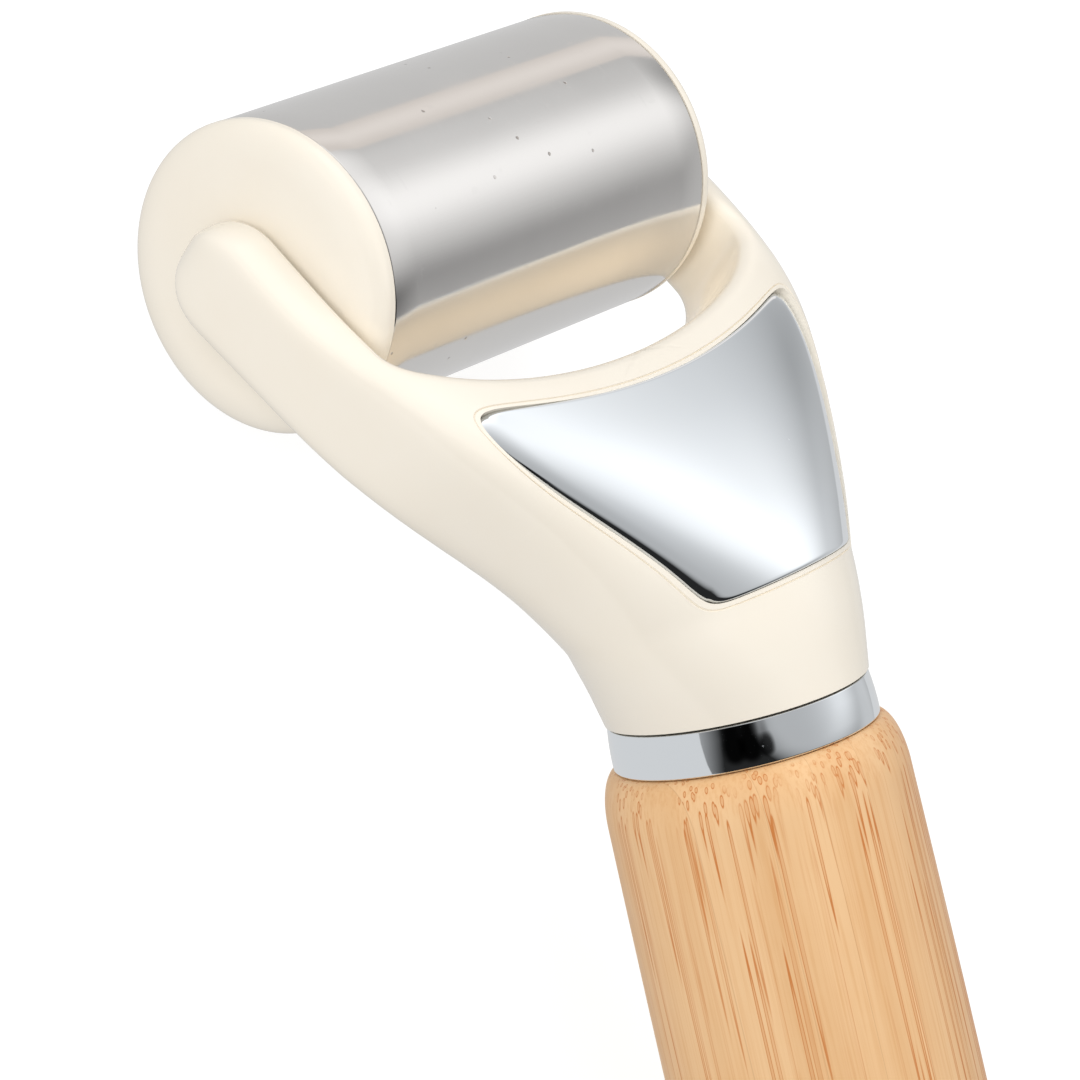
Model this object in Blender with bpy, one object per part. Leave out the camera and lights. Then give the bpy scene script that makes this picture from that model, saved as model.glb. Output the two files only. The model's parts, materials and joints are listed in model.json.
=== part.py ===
"""Facial cooling roller: a steel drum on pivot pins in a forked yoke, a chrome collar and a bamboo handle.

Design frame, in millimetres until a mesh is made: the origin is the drum's centre, +X runs along the
drum's axis, +Z up the handle towards the drum and +Y the way that the drum is offset from the handle.
One empty lays the finished roller on a table, on its drum and on the rim of its butt.
"""

from math import acos, atan2, cos, hypot, pi, radians, sin, tan

import bmesh
import bpy
import numpy as np

MM = 0.001

# drum
DRUM_R = 19.0
DRUM_HALF = 31.5
SHELL_WALL = 1.0
CAP_R = 19.05
CAP_FLANGE_IN = 31.65
CAP_FACE = 34.5
CAP_ROUND_R = 4.6
CAP_ROUND_X = 2.2
PLUG_R = 17.7
PLUG_END = 26.5
BOSS_R = 6.0
SEAL_R = 17.0
SEAL_WIRE_R = 0.7
SEAL_X = 29.0
GEL_R = 17.6
GEL_HALF = 26.0

# pivots
PIN_R = 2.5
PIN_IN = 27.4
PIN_OUT = 39.0
PIN_HOLE_R = 2.8
BUSH_IN_R = 2.58
BUSH_OUT_R = 4.0
BUSH_X = (35.85, 39.2)
SOCKET_R = 4.3
SOCKET_END = 39.5
WASHER_X = (34.8, 35.3)
WASHER_R = (2.9, 6.0)

# yoke: a spine that leans back from the drum's axis, then bends down into the neck
LEAN = radians(51.4)
BEND = 63.0
SPINE_OFFSET = -0.4
NECK_Y = -29.5
NECK_Z = -63.2
ARM_IN = 35.6
ARM_TIP = 7.9
ARM_ROUND = 1.2
STATIONS = (0.0, 15.0, 25.0, 33.0, 41.0, 50.0, 60.0, 72.0)
HALF_WIDTHS = (41.6, 41.2, 38.8, 36.0, 31.5, 26.5, 21.9, 16.4)
HALF_DEPTHS = (7.9, 7.9, 9.4, 10.2, 11.4, 13.1, 15.6, 16.4)
ROW_SAMPLES = 700
NECK_ROW_EASE = 1.4
DEPTH_SHIFTS = (0.3, 0.3, 0.5, 0.6, 0.6, 0.3, 0.2, 0.0)
ARM_SQUARENESS = 8.0
NECK_SQUARENESS = 2.0
CROTCH_START = 18.8
CROTCH_END = 31.1
CROTCH_FRONT_ROUND = 3.4
CROTCH_BACK_ROUND = 2.0
CROTCH_FAN = 13.0
SPIGOT_R = 12.6
SPIGOT_END = -75.7

# shield on the back of the yoke
SHIELD_TOP = 35.2
SHIELD_HORN = 5.0
SHIELD_END = 59.0
SHIELD_TOP_HALF = 32.4
SHIELD_END_HALF = 15.3
SHIELD_BULGE = 18.0
SHIELD_CORNER = 16.0
SHIELD_RIM_DOWN = (-1.0, -0.985, -0.95, -0.9)
SHIELD_RIM_ACROSS = (-1.0, -0.99, -0.97, -0.94)
SHIELD_PROUD = 0.2
SHIELD_UNDER = -1.3
RECESS_GAP = 0.4
RECESS_FLOOR = -2.2
TAPE_LEVELS = (-2.0, -1.5)
TAPE_INSETS = (0.9, 3.3)
POCKET_INSET = 4.2
POCKET_FLOOR = 7.5

# neck bolt, collar and handle
BOLT_SEAT = -53.0
BOLT_R = 2.5
BOLT_HOLE_R = 2.9
BOLT_END = -92.0
BOLT_HEAD_R = 4.4
BOLT_HEAD = (-51.8, -47.6)
BOLT_HEX = 4.0
BOLT_HEX_DEPTH = 2.3
COUNTERBORE_R = 6.4
COUNTERBORE_TOP = -37.0
NECK_WASHER_Z = (-52.9, -51.9)
NECK_WASHER_R = 5.6
COLLAR_TOP = -63.5
COLLAR_BOTTOM = -68.5
COLLAR_TOP_R = 16.2
COLLAR_BOTTOM_R = 16.55
COLLAR_IN_R = 12.95
GASKET_Z = (-69.0, -68.6)
GASKET_R = (13.0, 15.8)
HANDLE_TOP = -69.1
HANDLE_TOP_R = 16.3
HANDLE_SHOULDER = -76.0
HANDLE_R = 18.85
HANDLE_BELLY = -122.0
HANDLE_BELLY_R = 19.25
HANDLE_END = -169.0
HANDLE_END_R = 18.7
BUTT_ROUND = 6.0
TENON_BORE_R = 13.0
TENON_BORE_END = -76.1
INSERT_BORE_R = 5.3
INSERT_BORE_END = -100.0
INSERT_R = (2.9, 5.0)
INSERT_Z = (-97.0, -77.0)

CREAM = (0.89, 0.84, 0.73, 1.0)
STEEL = (0.62, 0.61, 0.62, 1.0)
CHROME = (0.80, 0.81, 0.83, 1.0)
BAMBOO = (0.78, 0.58, 0.36, 1.0)
BRASS = (0.72, 0.55, 0.25, 1.0)
RUBBER = (0.03, 0.03, 0.03, 1.0)
GEL = (0.25, 0.55, 0.75, 1.0)
TAPE = (0.12, 0.12, 0.12, 1.0)
ACETAL = (0.86, 0.86, 0.84, 1.0)
ZINC = (0.66, 0.67, 0.68, 1.0)


def clear_scene():
    for obj in list(bpy.data.objects):
        bpy.data.objects.remove(obj, do_unlink=True)


def material(name, color, metallic, roughness):
    made = bpy.data.materials.new(name)
    made.use_nodes = True
    shader = made.node_tree.nodes["Principled BSDF"]
    shader.inputs["Base Color"].default_value = color
    shader.inputs["Metallic"].default_value = metallic
    shader.inputs["Roughness"].default_value = roughness
    made.diffuse_color = color
    return made


def add_mesh(name, points, faces, smooth_angle=32.0):
    """Makes one object from points in millimetres, welds them and turns every face outward."""
    mesh = bpy.data.meshes.new(name)
    mesh.from_pydata([(x * MM, y * MM, z * MM) for x, y, z in points], [], faces)
    work = bmesh.new()
    work.from_mesh(mesh)
    bmesh.ops.remove_doubles(work, verts=work.verts, dist=0.00001)
    bmesh.ops.dissolve_degenerate(work, edges=work.edges, dist=0.000001)
    bmesh.ops.recalc_face_normals(work, faces=work.faces)
    work.to_mesh(mesh)
    work.free()
    mesh.polygons.foreach_set("use_smooth", [True] * len(mesh.polygons))
    mesh.set_sharp_from_angle(angle=radians(smooth_angle))
    mesh.update()
    obj = bpy.data.objects.new(name, mesh)
    bpy.context.collection.objects.link(obj)
    obj.parent = ROOT
    return obj


def finish(obj, color, metallic, roughness):
    obj.data.materials.clear()
    obj.data.materials.append(material(obj.name, color, metallic, roughness))
    return obj


def as_cutter(obj):
    obj.hide_render = True
    obj.display_type = "WIRE"
    return obj


def cut(obj, cutter):
    step = obj.modifiers.new(cutter.name, "BOOLEAN")
    step.operation = "DIFFERENCE"
    step.solver = "EXACT"
    step.object = as_cutter(cutter)


def revolve(name, profile, place, segments=64, closed=True):
    """Turns (along, radius) points about an axis. place maps (along, across, across) to a point."""
    points = []
    rings = []
    for along, radius in profile:
        if radius < 1e-6:
            rings.append([len(points)] * segments)
            points.append(place(along, 0.0, 0.0))
            continue
        ring = []
        for i in range(segments):
            a = 2 * pi * i / segments
            ring.append(len(points))
            points.append(place(along, radius * cos(a), radius * sin(a)))
        rings.append(ring)
    faces = []
    pairs = len(rings) if closed else len(rings) - 1
    for k in range(pairs):
        low = rings[k]
        high = rings[(k + 1) % len(rings)]
        for i in range(segments):
            j = (i + 1) % segments
            corners = []
            for index in (low[i], low[j], high[j], high[i]):
                if index not in corners:
                    corners.append(index)
            if len(corners) > 2:
                faces.append(corners)
    return add_mesh(name, points, faces)


def about_drum(side):
    return lambda along, u, v: (side * along, u, v)


def about_neck(along, u, v):
    return (u, NECK_Y + v, along)


def quarter(from_point, to_point, steps, power=2.0, first_along=True):
    """Points after from_point up to to_point on a superellipse quarter.

    It leaves along the first coordinate, or along the second if first_along is False.
    """
    found = []
    for i in range(1, steps + 1):
        a = pi / 2 * i / steps
        far = sin(a) ** (2 / power)
        near = 1 - cos(a) ** (2 / power)
        first, second = (far, near) if first_along else (near, far)
        found.append((
            from_point[0] + (to_point[0] - from_point[0]) * first,
            from_point[1] + (to_point[1] - from_point[1]) * second,
        ))
    return found


def spline(knots, values):
    """A natural cubic spline through the stations."""
    x = np.array(knots, float)
    y = np.array(values, float)
    gap = np.diff(x)
    matrix = np.eye(len(x))
    right = np.zeros(len(x))
    for i in range(1, len(x) - 1):
        matrix[i, i - 1:i + 2] = gap[i - 1], 2 * (gap[i - 1] + gap[i]), gap[i]
        right[i] = 6 * ((y[i + 1] - y[i]) / gap[i] - (y[i] - y[i - 1]) / gap[i - 1])
    bend = np.linalg.solve(matrix, right)

    def value(at):
        at = np.clip(np.asarray(at, float), x[0], x[-1])
        i = np.clip(np.searchsorted(x, at) - 1, 0, len(x) - 2)
        t = at - x[i]
        u = x[i + 1] - at
        k = gap[i]
        cubic = (bend[i] * u**3 + bend[i + 1] * t**3) / (6 * k)
        return cubic + (y[i] / k - bend[i] * k / 6) * u + (y[i + 1] / k - bend[i + 1] * k / 6) * t

    return value


half_width_at = spline(STATIONS, HALF_WIDTHS)
half_depth_at = spline(STATIONS, HALF_DEPTHS)
depth_shift_at = spline(STATIONS, DEPTH_SHIFTS)

SPINE_Y0 = SPINE_OFFSET * sin(LEAN)
SPINE_Z0 = -SPINE_OFFSET * cos(LEAN)
BEND_START = (SPINE_Y0 - NECK_Y) / cos(LEAN) - BEND * tan((pi / 2 - LEAN) / 2)
BEND_END = BEND_START + BEND * (pi / 2 - LEAN)
BEND_CENTRE_Y = NECK_Y + BEND
BEND_CENTRE_Z = SPINE_Z0 - sin(LEAN) * BEND_START - BEND * cos(LEAN)
SPINE_END = BEND_END + BEND_CENTRE_Z - NECK_Z


def spine_point(s, depth):
    """(y, z) at a distance s down the yoke's spine and a depth in front of it."""
    s = np.asarray(s, float)
    turn = LEAN + np.clip(s - BEND_START, 0, BEND_END - BEND_START) / BEND
    straight_y = SPINE_Y0 - cos(LEAN) * s
    straight_z = SPINE_Z0 - sin(LEAN) * s
    y = np.where(s <= BEND_START, straight_y, BEND_CENTRE_Y - BEND * np.sin(turn))
    z = np.where(s <= BEND_START, straight_z, BEND_CENTRE_Z + BEND * np.cos(turn))
    z = z - np.maximum(s - BEND_END, 0)
    return y + depth * np.sin(turn), z - depth * np.cos(turn)


def yoke_half_width(s):
    tip = np.clip(-s / ARM_TIP, 0, 1)
    width = half_width_at(np.maximum(s, 0))
    return np.where(s < 0, ARM_IN + (width - ARM_IN) * (1 - tip**3) ** (1 / 3), width)


def yoke_half_depth(s):
    tip = np.clip(-s / ARM_TIP, 0, 1)
    return half_depth_at(np.maximum(s, 0)) * np.sqrt(1 - tip**2)


def yoke_squareness(s):
    k = np.clip((s - 15) / 45, 0, 1)
    blend = 0.5 * k + 0.5 * k * k * (3 - 2 * k)
    return ARM_SQUARENESS + (NECK_SQUARENESS - ARM_SQUARENESS) * blend


def crotch_distance(s, x):
    """How far a point of the yoke's plan lies from the U of the fork."""
    reach = CROTCH_END - CROTCH_START
    down = np.maximum(s - CROTCH_START, 0) / reach
    across = np.maximum(x, 0) / ARM_IN
    level = np.sqrt(across**2 + down**2 + 1e-12)
    slope = np.sqrt((across / ARM_IN) ** 2 + (down / reach) ** 2 + 1e-12) / level
    return (level - 1) / slope


def yoke_depth(s, x, side):
    """Depth of the yoke's front sheet (side 1) or back sheet (side -1) at a point of its plan, x >= 0."""
    p = yoke_squareness(s)
    t = np.clip(x / yoke_half_width(s), 0, 1)
    depth = yoke_half_depth(s) * (1 - t**p) ** (1 / p)
    r = CROTCH_FRONT_ROUND if side > 0 else CROTCH_BACK_ROUND
    k = np.clip((s - 4) / 18, 0, 1)
    r = ARM_ROUND + (r - ARM_ROUND) * k * k * (3 - 2 * k)
    r = np.minimum(r, 0.6 * yoke_half_depth(s) + 1e-6)
    away = np.clip(crotch_distance(s, x), 0, r)
    depth = depth - r + np.sqrt(np.maximum(r**2 - (r - away) ** 2, 0))
    return depth_shift_at(np.maximum(s, 0)) + side * np.maximum(depth, 0)


def even_steps(line, count, turn_weight=4.0):
    """Resamples a dense line so that steps are even in length plus turning."""
    step = np.diff(line, axis=0)
    length = np.linalg.norm(step, axis=1) + 1e-9
    heading = step / length[:, None]
    turn = np.arccos(np.clip((heading[1:] * heading[:-1]).sum(1), -1, 1))
    cost = length.copy()
    cost[1:] += turn_weight * turn
    total = np.concatenate([[0], np.cumsum(cost)])
    index = np.interp(np.linspace(0, total[-1], count + 1), total, np.arange(len(total)))
    columns = [np.interp(index, np.arange(len(line)), line[:, k]) for k in range(3)]
    return np.stack(columns, -1)


def yoke_row_ends(tip_rows, arm_rows, crotch_rows, neck_rows):
    """Inner ends (s, x) of half the plan's rows, the s of their outer ends, and the last crotch row."""
    inner = [(-ARM_TIP * cos(a), ARM_IN) for a in np.linspace(0, pi / 2, tip_rows + 1)]
    inner += [(s, ARM_IN) for s in np.linspace(0, CROTCH_START, arm_rows + 1)[1:]]
    reach = CROTCH_END - CROTCH_START
    for a in np.linspace(0, pi / 2, crotch_rows + 1)[1:]:
        inner.append((CROTCH_START + reach * sin(a), ARM_IN * max(cos(a), 0.0)))
    for k in np.linspace(0, 1, neck_rows + 1)[1:]:
        inner.append((CROTCH_END + (SPINE_END - CROTCH_END) * k**NECK_ROW_EASE, 0.0))
    inner = np.array(inner)
    inner[np.abs(inner[:, 1]) < 1e-9, 1] = 0.0
    along = np.concatenate([[0], np.cumsum(np.hypot(*np.diff(inner, axis=0).T))])
    first = tip_rows + arm_rows
    last = first + crotch_rows
    knots = (along[first] - 12, along[first] - 6, along[first], along[last], along[-1])
    values = (CROTCH_START - 12, CROTCH_START - 6, CROTCH_START, CROTCH_END + CROTCH_FAN, SPINE_END)
    outer = np.concatenate([inner[:first + 1, 0], spline(knots, values)(along[first + 1:])])
    return inner, outer, last


def yoke_rows(tip_rows, arm_rows, crotch_rows, neck_rows, columns, wall_columns):
    """Rows of points on the front sheet, the back sheet and the inner wall of the +X half."""
    inner, outer, last = yoke_row_ends(tip_rows, arm_rows, crotch_rows, neck_rows)
    rows = []
    for (s_in, x_in), s_out in zip(inner, outer):
        t_in = min(x_in / float(yoke_half_width(s_in)), 1.0)
        p = float(yoke_squareness(s_in))
        start = atan2((1 - t_in**p) ** (1 / p), t_in)
        a = np.linspace(start, 0, ROW_SAMPLES)
        t = np.cos(a) / (np.cos(a) ** p + np.sin(a) ** p) ** (1 / p)
        t[0] = t_in
        t[-1] = 1.0
        s = s_in + (s_out - s_in) * (t - t_in) / max(1 - t_in, 1e-9)
        x = t * yoke_half_width(s)
        sheets = []
        for side in (1, -1):
            y, z = spine_point(s, yoke_depth(s, x, side))
            sheets.append(even_steps(np.stack([x, y, z], -1), columns))
        front, back = sheets
        wall = [back[0] + (front[0] - back[0]) * k for k in np.linspace(0, 1, wall_columns + 1)]
        rows.append((front, back, np.array(wall)))
    return rows, last


def yoke_shell(rows, last):
    """Points and faces of both halves, open only at the neck's end, and that end's ring of points."""
    points = []
    faces = []

    def strip(lines):
        for first, second in zip(lines, lines[1:]):
            for j in range(len(first) - 1):
                base = len(points)
                points.extend([first[j], first[j + 1], second[j + 1], second[j]])
                faces.append([base, base + 1, base + 2, base + 3])

    for sign in (1, -1):
        flip = np.array([sign, 1, 1])
        strip([front * flip for front, back, wall in rows])
        strip([back * flip for front, back, wall in rows])
        strip([wall * flip for front, back, wall in rows[:last + 1]])
    front, back, wall = rows[-1]
    other = np.array([-1, 1, 1])
    ring = list(front) + list(back[::-1][1:]) + list((back * other)[1:]) + list((front * other)[::-1][1:-1])
    return points, faces, ring


def build_yoke_body():
    rows, last = yoke_rows(5, 4, 12, 11, 9, 3)
    points, faces, ring = yoke_shell(rows, last)
    ends = []
    for radius, z in ((0, NECK_Z), (SPIGOT_R, NECK_Z), (SPIGOT_R, SPIGOT_END)):
        copy = []
        for x, y, old_z in ring:
            a = atan2(y - NECK_Y, x)
            if radius:
                copy.append((radius * cos(a), NECK_Y + radius * sin(a), z))
            else:
                copy.append((x, y, old_z))
        ends.append(copy)
    for low, high in zip(ends, ends[1:]):
        for i in range(len(ring)):
            j = (i + 1) % len(ring)
            base = len(points)
            points.extend([low[i], low[j], high[j], high[i]])
            faces.append([base, base + 1, base + 2, base + 3])
    base = len(points)
    points.extend(ends[-1])
    faces.append(list(range(base, len(points))))
    return add_mesh("yoke", points, faces)


def shield_plan(a, b, grow=0.0):
    """(s, x) in the yoke's plan for a, b in -1..1 over the shield: a runs down it and b across it."""
    far = (abs(a) ** SHIELD_CORNER + abs(b) ** SHIELD_CORNER) ** (1 / SHIELD_CORNER)
    if far > 1e-9:
        scale = max(abs(a), abs(b)) / far
        a, b = a * scale, b * scale
    k = (a + 1) / 2
    top = SHIELD_TOP - SHIELD_HORN * b * b - grow
    half = SHIELD_TOP_HALF + (SHIELD_END_HALF - SHIELD_TOP_HALF) * k + SHIELD_BULGE * k * (1 - k) ** 2 + grow
    return top + (SHIELD_END + grow - top) * k, b * half


def back_point(s, x, lift):
    """A point lifted off the yoke's back sheet along its normal."""
    def at(s_at, x_at):
        y, z = spine_point(s_at, yoke_depth(s_at, abs(x_at), -1))
        return np.array([x_at, float(y), float(z)])

    down = at(s + 0.05, x) - at(s - 0.05, x)
    across = at(s, x + 0.05) - at(s, x - 0.05)
    normal = np.cross(down, across)
    normal /= np.linalg.norm(normal)
    if normal[1] > 0:
        normal = -normal
    return at(s, x) + normal * lift


def shield_block(name, grow, under, lift, rounding=0.0, down=7, across=11):
    """A slab that follows the yoke's back under the shield's outline. rounding drops the rim of its top."""
    points = []
    steps_a = list(SHIELD_RIM_DOWN) + list(np.linspace(-0.8, 0.8, down)) + [-k for k in SHIELD_RIM_DOWN[::-1]]
    steps_b = list(SHIELD_RIM_ACROSS)
    steps_b += list(np.linspace(-0.86, 0.86, across)) + [-k for k in SHIELD_RIM_ACROSS[::-1]]
    rows = len(steps_a)
    columns = len(steps_b)
    half_long = (SHIELD_END - SHIELD_TOP) / 2
    half_wide = (SHIELD_TOP_HALF + SHIELD_END_HALF) / 2
    for level in (0, 1):
        for i, a in enumerate(steps_a):
            for j, b in enumerate(steps_b):
                s, x = shield_plan(a, b, grow)
                height = under
                if level:
                    height = lift
                    if rounding:
                        reach = min((1 - abs(a)) * half_long, (1 - abs(b)) * half_wide)
                        k = max(0.0, 1 - reach / (2 * rounding))
                        height = lift - rounding * (1 - (1 - k * k) ** 0.5)
                points.append(back_point(s, x, height))
    faces = []

    def index(level, i, j):
        return level * rows * columns + i * columns + j

    for i in range(rows - 1):
        for j in range(columns - 1):
            for level in (0, 1):
                corners = ((i, j), (i + 1, j), (i + 1, j + 1), (i, j + 1))
                faces.append([index(level, *corner) for corner in corners])
    rim = [(i, 0) for i in range(rows)] + [(rows - 1, j) for j in range(1, columns)]
    rim += [(i, columns - 1) for i in range(rows - 2, -1, -1)] + [(0, j) for j in range(columns - 2, 0, -1)]
    for k, (i, j) in enumerate(rim):
        i2, j2 = rim[(k + 1) % len(rim)]
        faces.append([index(0, i, j), index(0, i2, j2), index(1, i2, j2), index(1, i, j)])
    return add_mesh(name, points, faces, 40.0)


def shield_outline(grow, per_side=12):
    """The shield's outline in the yoke's plan, one way round."""
    steps = np.linspace(-1, 1, per_side + 1)
    loop = [(a, -1) for a in steps] + [(1, b) for b in steps[1:]]
    loop += [(a, 1) for a in steps[::-1][1:]] + [(-1, b) for b in steps[::-1][1:-1]]
    return [shield_plan(a, b, grow) for a, b in loop]


def build_pocket_cutter():
    """The moulding's core under the shield: the outline, drawn in, taken through the yoke to a front wall."""
    outline = shield_outline(-POCKET_INSET, 8)
    points = []
    depths = (-26.0, -8.0, 0.0, POCKET_FLOOR)
    for depth in depths:
        for s, x in outline:
            y, z = spine_point(s, depth)
            points.append((x, float(y), float(z)))
    count = len(outline)
    faces = []
    for level in range(len(depths) - 1):
        for i in range(count):
            j = (i + 1) % count
            low = level * count
            faces.append([low + i, low + j, low + count + j, low + count + i])
    faces.append(list(range(count)))
    faces.append(list(range((len(depths) - 1) * count, len(depths) * count)))
    return add_mesh("cut_pocket", points, faces)


def build_yoke():
    yoke = build_yoke_body()
    cut(yoke, shield_block("cut_recess", RECESS_GAP, RECESS_FLOOR, 3.0))
    cut(yoke, build_pocket_cutter())
    bore = [(COUNTERBORE_TOP, 0), (COUNTERBORE_TOP, COUNTERBORE_R), (BOLT_SEAT, COUNTERBORE_R)]
    bore += [(BOLT_SEAT, BOLT_HOLE_R), (SPIGOT_END - 2, BOLT_HOLE_R), (SPIGOT_END - 2, 0)]
    cut(yoke, revolve("cut_bolt_bore", bore, about_neck, 40, closed=False))
    for name, side in (("left", -1), ("right", 1)):
        socket = [(ARM_IN - 3, 0), (ARM_IN - 3, SOCKET_R), (SOCKET_END, SOCKET_R), (SOCKET_END, 0)]
        cut(yoke, revolve(f"cut_{name}_socket", socket, about_drum(side), 40, closed=False))
    return finish(yoke, CREAM, 0.0, 0.22)


def build_shield():
    finish(shield_block("shield_plate", 0.0, SHIELD_UNDER, SHIELD_PROUD, 0.45), CHROME, 1.0, 0.05)
    outer = shield_outline(-TAPE_INSETS[0])
    inner = shield_outline(-TAPE_INSETS[1])
    count = len(outer)
    points = []
    for outline in (outer, inner):
        for level in TAPE_LEVELS:
            points += [back_point(s, x, level) for s, x in outline]
    faces = []
    for first, second in ((0, 1), (1, 3), (3, 2), (2, 0)):
        for i in range(count):
            j = (i + 1) % count
            faces.append([first * count + i, first * count + j, second * count + j, second * count + i])
    finish(add_mesh("shield_tape", points, faces), TAPE, 0.0, 0.9)


def build_drum_shell():
    inner = DRUM_R - SHELL_WALL
    edge = 0.2
    profile = [(-DRUM_HALF, inner), (-DRUM_HALF, DRUM_R - edge), (-DRUM_HALF + edge, DRUM_R)]
    profile += [(DRUM_HALF - edge, DRUM_R), (DRUM_HALF, DRUM_R - edge), (DRUM_HALF, inner)]
    finish(revolve("drum_shell", profile, about_drum(1), 72), STEEL, 1.0, 0.22)


def build_cap(name, side):
    profile = [(PIN_IN - 0.3, 0), (PIN_IN - 0.3, PIN_HOLE_R), (CAP_FACE, PIN_HOLE_R)]
    profile += [(CAP_FACE, CAP_R - CAP_ROUND_R)]
    profile += quarter((CAP_FACE, CAP_R - CAP_ROUND_R), (CAP_FACE - CAP_ROUND_X, CAP_R), 5, first_along=False)
    profile += [(CAP_FLANGE_IN, CAP_R), (CAP_FLANGE_IN, PLUG_R)]
    groove_in = SEAL_R - SEAL_WIRE_R - 0.3
    groove_half = SEAL_WIRE_R + 0.3
    profile += [(SEAL_X + groove_half, PLUG_R), (SEAL_X + groove_half, groove_in)]
    profile += [(SEAL_X - groove_half, groove_in), (SEAL_X - groove_half, PLUG_R)]
    profile += [(PLUG_END, PLUG_R), (PLUG_END, PLUG_R - 3), (CAP_FLANGE_IN - 1, PLUG_R - 3)]
    profile += [(CAP_FLANGE_IN - 1, BOSS_R), (PLUG_END, BOSS_R), (PLUG_END, 0)]
    finish(revolve(f"{name}_end_cap", profile, about_drum(side), 56, closed=False), CREAM, 0.0, 0.22)


def build_seal(name, side):
    profile = []
    for i in range(8):
        a = 2 * pi * i / 8
        profile.append((SEAL_X + SEAL_WIRE_R * cos(a), SEAL_R + SEAL_WIRE_R * sin(a)))
    finish(revolve(f"{name}_cap_seal", profile, about_drum(side), 36), RUBBER, 0.0, 0.6)


def build_pin(name, side):
    edge = 0.4
    profile = [(PIN_IN, 0), (PIN_IN, PIN_R - edge), (PIN_IN + edge, PIN_R)]
    profile += [(PIN_OUT - edge, PIN_R), (PIN_OUT, PIN_R - edge), (PIN_OUT, 0)]
    finish(revolve(f"{name}_pivot_pin", profile, about_drum(side), 40, closed=False), STEEL, 1.0, 0.2)


def build_tube(name, side, ends, radii, color, metallic, roughness):
    low, high = ends
    inner, outer = radii
    profile = [(low, inner), (low, outer), (high, outer), (high, inner)]
    place = about_drum(side) if side else about_neck
    finish(revolve(name, profile, place, 40), color, metallic, roughness)


def build_drum():
    build_drum_shell()
    profile = [(-GEL_HALF, 0), (-GEL_HALF, GEL_R), (GEL_HALF, GEL_R), (GEL_HALF, 0)]
    finish(revolve("cooling_gel", profile, about_drum(1), 48, closed=False), GEL, 0.0, 0.3)
    for name, side in (("left", -1), ("right", 1)):
        build_cap(name, side)
        build_seal(name, side)
        build_pin(name, side)


def build_pivots():
    for name, side in (("left", -1), ("right", 1)):
        build_tube(f"{name}_arm_bush", side, BUSH_X, (BUSH_IN_R, BUSH_OUT_R), ACETAL, 0.0, 0.4)
        build_tube(f"{name}_thrust_washer", side, WASHER_X, WASHER_R, ACETAL, 0.0, 0.4)


def build_neck_bolt():
    low, high = BOLT_HEAD
    edge = 0.5
    profile = [(BOLT_END, 0), (BOLT_END, BOLT_R - edge), (BOLT_END + edge, BOLT_R), (low, BOLT_R)]
    profile += [(low, BOLT_HEAD_R), (high - edge, BOLT_HEAD_R), (high, BOLT_HEAD_R - edge), (high, 0)]
    bolt = revolve("neck_bolt", profile, about_neck, 36, closed=False)
    hexagon = BOLT_HEX / 2 / cos(pi / 6)
    socket = [(high + 1, 0), (high + 1, hexagon)]
    socket += [(high - BOLT_HEX_DEPTH, hexagon), (high - BOLT_HEX_DEPTH, 0)]
    cut(bolt, revolve("cut_hex", socket, about_neck, 6, closed=False))
    finish(bolt, ZINC, 1.0, 0.35)


def build_collar():
    edge = 0.45
    start = (COLLAR_BOTTOM, COLLAR_BOTTOM_R - edge)
    profile = [(COLLAR_BOTTOM, COLLAR_IN_R), start]
    profile += quarter(start, (COLLAR_BOTTOM + edge, COLLAR_BOTTOM_R), 3, first_along=False)
    profile += [(COLLAR_TOP - edge, COLLAR_TOP_R)]
    profile += quarter((COLLAR_TOP - edge, COLLAR_TOP_R), (COLLAR_TOP, COLLAR_TOP_R - edge), 3)
    profile += [(COLLAR_TOP, COLLAR_IN_R)]
    finish(revolve("collar_ring", profile, about_neck, 64), CHROME, 1.0, 0.05)


def handle_radius_at(z):
    return spline(
        (HANDLE_END, HANDLE_BELLY, HANDLE_SHOULDER),
        (HANDLE_END_R, HANDLE_BELLY_R, HANDLE_R),
    )(z)


def build_handle():
    profile = [(HANDLE_TOP, TENON_BORE_R), (HANDLE_TOP, HANDLE_TOP_R)]
    shoulder = (HANDLE_SHOULDER, float(handle_radius_at(HANDLE_SHOULDER)))
    profile += quarter((HANDLE_TOP, HANDLE_TOP_R), shoulder, 6, first_along=False)
    butt = HANDLE_END + BUTT_ROUND
    for z in np.linspace(HANDLE_SHOULDER, butt, 7)[1:]:
        profile.append((z, float(handle_radius_at(z))))
    rim = float(handle_radius_at(butt))
    profile += quarter((butt, rim), (HANDLE_END, rim - BUTT_ROUND), 6)
    profile += [(HANDLE_END, 0), (INSERT_BORE_END, 0), (INSERT_BORE_END, INSERT_BORE_R)]
    profile += [(TENON_BORE_END, INSERT_BORE_R), (TENON_BORE_END, TENON_BORE_R)]
    outer = profile[:profile.index((HANDLE_END, 0)) + 1]
    inner = profile[profile.index((HANDLE_END, 0)) + 1:]
    handle = revolve("handle", inner + outer, about_neck, 64, closed=False)
    finish(handle, BAMBOO, 0.0, 0.45)


def build_neck():
    build_neck_bolt()
    build_tube("neck_washer", 0, NECK_WASHER_Z, (BOLT_HOLE_R, NECK_WASHER_R), ZINC, 1.0, 0.35)
    build_collar()
    build_tube("neck_gasket", 0, GASKET_Z, GASKET_R, RUBBER, 0.0, 0.7)
    build_tube("handle_insert", 0, INSERT_Z, INSERT_R, BRASS, 1.0, 0.35)
    build_handle()


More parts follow.
